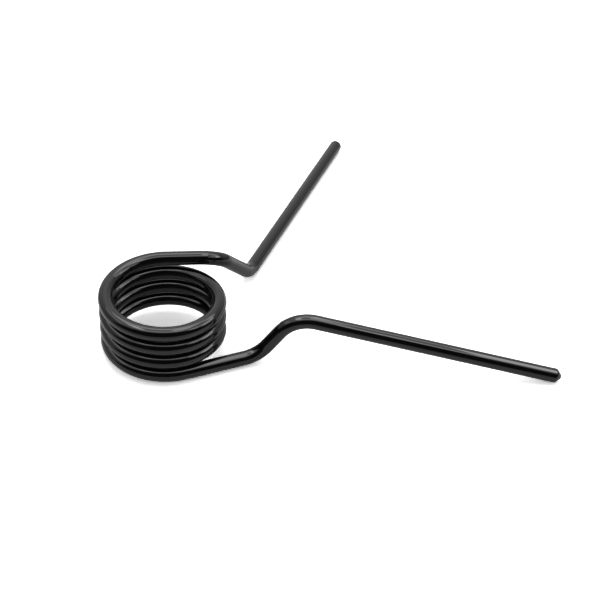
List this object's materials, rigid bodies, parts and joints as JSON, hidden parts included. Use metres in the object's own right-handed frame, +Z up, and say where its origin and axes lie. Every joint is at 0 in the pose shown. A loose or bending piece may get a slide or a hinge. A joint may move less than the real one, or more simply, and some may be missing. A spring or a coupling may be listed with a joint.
{
  "type": "torsion spring",
  "caption": "Left-hand torsion spring of round black-coated wire: a short close-wound coil with two cranked straight legs that push apart or close around the coil axis.",
  "frame": {"origin": "point where the coil axis meets the plane that the spring rests on", "axes": "+Z up along the coil axis; +X is the side that both legs reach out to; seen from above with +X to the right, the lower leg lies to the right and the upper leg runs up and to the right"},
  "size_m": [0.1557, 0.1592, 0.0263],
  "materials": {
    "coated_wire": "semi-gloss black coating over spring steel wire"
  },
  "bodies": {
    "root": {"torsion_spring": "coated_wire"}
  },
  "joints": []
}
